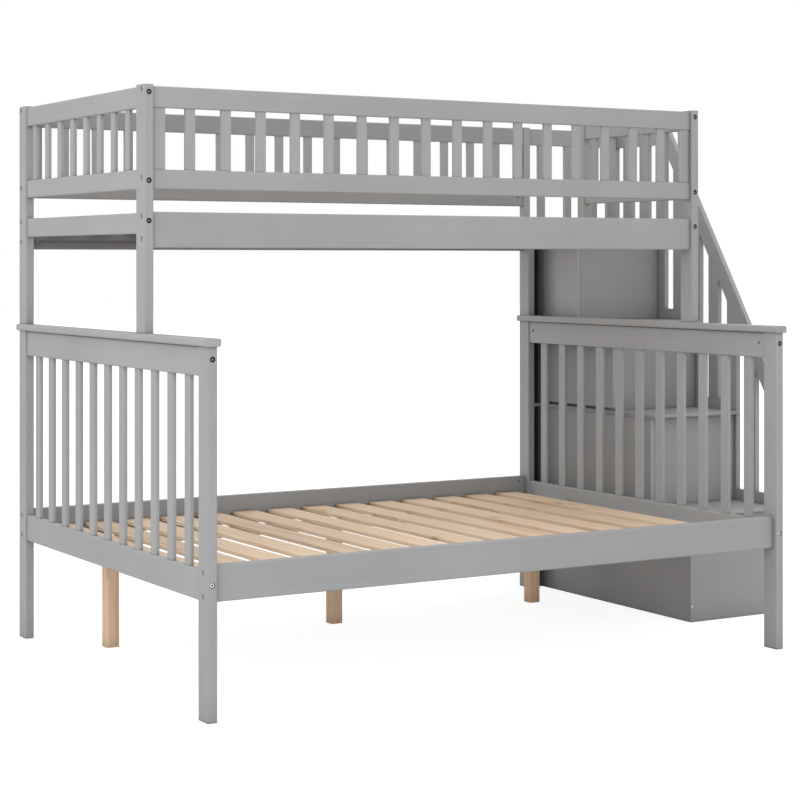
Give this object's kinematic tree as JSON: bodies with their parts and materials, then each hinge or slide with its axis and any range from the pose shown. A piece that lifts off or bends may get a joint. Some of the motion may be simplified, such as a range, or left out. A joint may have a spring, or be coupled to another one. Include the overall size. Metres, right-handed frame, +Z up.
{
  "type": "bunk bed with storage stairs",
  "caption": "Twin-over-full bunk bed in painted wood, with slatted end panels and guards, and a staircase of open storage cubbies with a raking handrail at its right-hand end.",
  "frame": {"origin": "on the floor, below the centre of the bounding box", "axes": "+X along the bed towards the staircase, +Y from the open front to the wall side, +Z up"},
  "size_m": [2.449, 1.492, 1.744],
  "materials": {
    "grey_paint": "solid pine and boards under satin light-grey paint",
    "natural_pine": "planed natural pine, clear and unpainted",
    "dark_steel": "dark zinc-plated joint bolts",
    "zinc_steel": "bright zinc-plated barrel nuts and screws",
    "beech": "plain turned hardwood dowels"
  },
  "bodies": {
    "root": {"barrel_nuts": "zinc_steel", "end_bottom_rail_left": "grey_paint", "end_bottom_rail_right": "grey_paint", "end_cap_left": "grey_paint", "end_cap_right": "grey_paint", "end_panel_slats": "grey_paint", "end_top_rail_left": "grey_paint", "end_top_rail_right": "grey_paint", "entry_post": "grey_paint", "guard_bottom_rail_back": "grey_paint", "guard_bottom_rail_front": "grey_paint", "guard_bottom_rail_left": "grey_paint", "guard_bottom_rail_right": "grey_paint", "guard_end_stiles": "grey_paint", "guard_slats": "grey_paint", "guard_slats_left": "grey_paint", "guard_slats_right": "grey_paint", "guard_top_rail_back": "grey_paint", "guard_top_rail_front": "grey_paint", "guard_top_rail_left": "grey_paint", "guard_top_rail_right": "grey_paint", "handrail_lower": "grey_paint", "handrail_upper": "grey_paint", "joining_strips": "grey_paint", "joint_bolts": "dark_steel", "landing_back_rails": "grey_paint", "landing_back_uprights": "grey_paint", "landing_side_rail": "grey_paint", "lower_base_slats": "natural_pine", "lower_post_back_left": "grey_paint", "lower_post_back_right": "grey_paint", "lower_post_front_left": "grey_paint", "lower_post_front_right": "grey_paint", "lower_side_rail_back": "grey_paint", "lower_side_rail_front": "grey_paint", "post_dowels": "beech", "slat_ledges": "grey_paint", "stair_back_panel": "grey_paint", "stair_balusters": "grey_paint", "stair_base_board": "grey_paint", "stair_face_rails": "grey_paint", "stair_face_stiles": "grey_paint", "stair_front_panel": "grey_paint", "stair_risers_and_dividers": "grey_paint", "stair_screws": "zinc_steel", "stair_side_panels": "grey_paint", "support_beam": "natural_pine", "support_legs": "natural_pine", "tread_1": "grey_paint", "tread_2": "grey_paint", "tread_3": "grey_paint", "tread_4": "grey_paint", "upper_base_slats": "natural_pine", "upper_end_rails": "grey_paint", "upper_post_back_left": "grey_paint", "upper_post_back_right": "grey_paint", "upper_post_front_left": "grey_paint", "upper_post_front_right": "grey_paint", "upper_side_rail_back": "grey_paint", "upper_side_rail_front": "grey_paint"}
  },
  "joints": []
}
